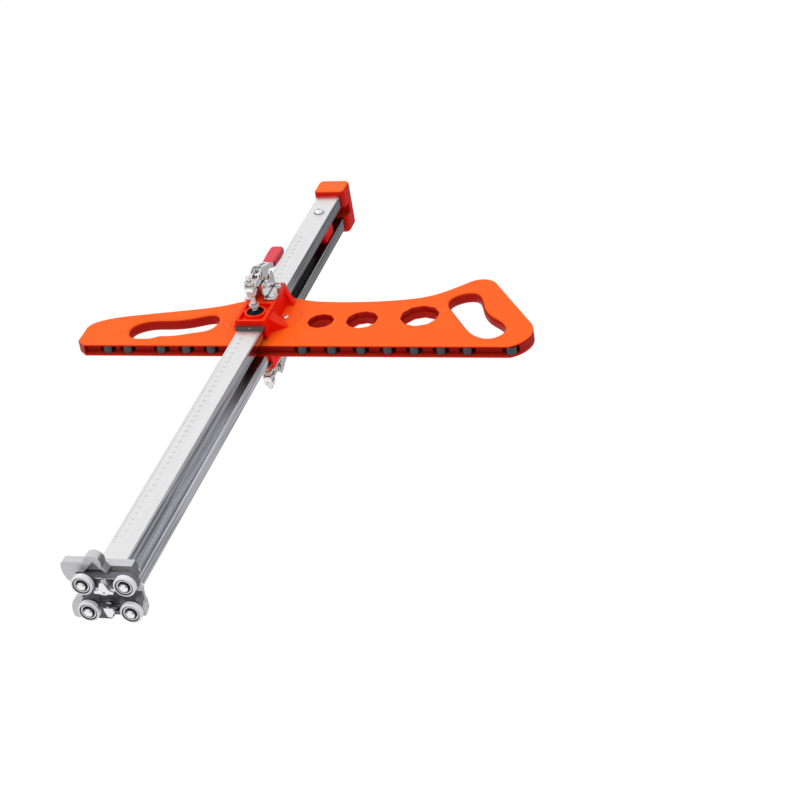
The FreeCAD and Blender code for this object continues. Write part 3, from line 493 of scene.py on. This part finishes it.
def paint_small_parts():
    """Screws, rivets, pins and the fence's rollers."""
    Surface("screw_steel", (0.85, 0.85, 0.86), 0.25, metallic=0.9, bump=0.3).done(
        "spacer_bolt", "head_screws", "wheel_axles", "saddle_screws", "clamp_base_screws", "shell_screws")
    Surface("rivet_steel", (0.7, 0.7, 0.7), 0.25, metallic=1.0).done("clamp_rivets")
    Surface("pin_steel", (0.5, 0.5, 0.52), 0.3, metallic=1.0).done("roller_pins")
    roller = Surface("roller_steel", (0.06, 0.06, 0.065), 0.32, metallic=0.8, tone=0.1)
    roller.done(*[name for name in nodes if name.startswith("fence_roller_")])


# --------------------------------------------------------------------- ruler

def make_ruler():
    """Etched millimetre scale with plain numbers on the top rail."""
    low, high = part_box("upper_rail")
    level = high.z + 0.01 * MM
    left = low.x + RULER_INSET
    ink = Surface("ruler_ink", (0.34, 0.34, 0.35), 0.5, tone=0.2).done()
    pieces = [make_ticks(left, level)]
    for number in range(1, RULER_MARKS // 10):
        curve = bpy.data.curves.new("number", "FONT")
        curve.body = str(number)
        curve.size = NUMBER_SIZE
        curve.align_x = "LEFT"
        curve.align_y = "CENTER"
        text = bpy.data.objects.new("number_%02d" % number, curve)
        text.location = (left + NUMBER_OFFSET, (RULER_START + 10 * number) * MM, level)
        bpy.context.scene.collection.objects.link(text)
        pieces.append(text)
    bpy.context.view_layer.update()
    join_flat("ruler_scale", pieces, ink)


def make_ticks(left, level):
    """All ticks of the ruler as flat rectangles in one mesh."""
    vertices, faces = [], []
    for mark in range(RULER_MARKS):
        y = (RULER_START + mark) * MM
        length = next(size for pitch, size in TICKS if mark % pitch == 0) * MM
        half = THIN_TICK if mark % 5 else THICK_TICK
        base = len(vertices)
        vertices += [(left, y - half, level), (left + length, y - half, level),
                     (left + length, y + half, level), (left, y + half, level)]
        faces.append((base, base + 1, base + 2, base + 3))
    mesh = bpy.data.meshes.new("ruler_ticks")
    mesh.from_pydata(vertices, [], faces)
    ticks = bpy.data.objects.new("ruler_ticks", mesh)
    bpy.context.scene.collection.objects.link(ticks)
    return ticks


def join_flat(name, pieces, material):
    """Turn meshes and text into one mesh object that rides on the frame."""
    vertices, faces = [], []
    depsgraph = bpy.context.evaluated_depsgraph_get()
    for piece in pieces:
        solid = piece.evaluated_get(depsgraph)
        mesh = solid.to_mesh()
        base = len(vertices)
        vertices += [solid.matrix_world @ vertex.co for vertex in mesh.vertices]
        faces += [[base + index for index in face.vertices] for face in mesh.polygons]
        solid.to_mesh_clear()
    for piece in pieces:
        bpy.data.objects.remove(piece)
    mesh = bpy.data.meshes.new(name)
    mesh.from_pydata(vertices, [], faces)
    mesh.materials.append(material)
    joined = bpy.data.objects.new(name, mesh)
    bpy.context.scene.collection.objects.link(joined)
    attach(joined, "frame")


make_camera()
make_world()
bpy.context.scene.view_settings.view_transform = "Standard"
make_light("key", (-0.8, -0.4, 2.2), (0.05, 0.4, 0), (1.2, 1.0), 16, (1.0, 0.99, 0.97))
paint_fence()
paint_carriage()
paint_frame()
paint_castings()
paint_scorers()
paint_wheels()
paint_clamps()
paint_small_parts()
make_ruler()
soften(0.8 * MM, "arm_top_shell", "arm_bottom_shell")
soften(0.5 * MM, "upper_saddle", "lower_saddle", "end_yoke", "upper_head", "lower_head",
       "upper_wheel_carrier", "lower_wheel_carrier")

bpy.context.view_layer.update()
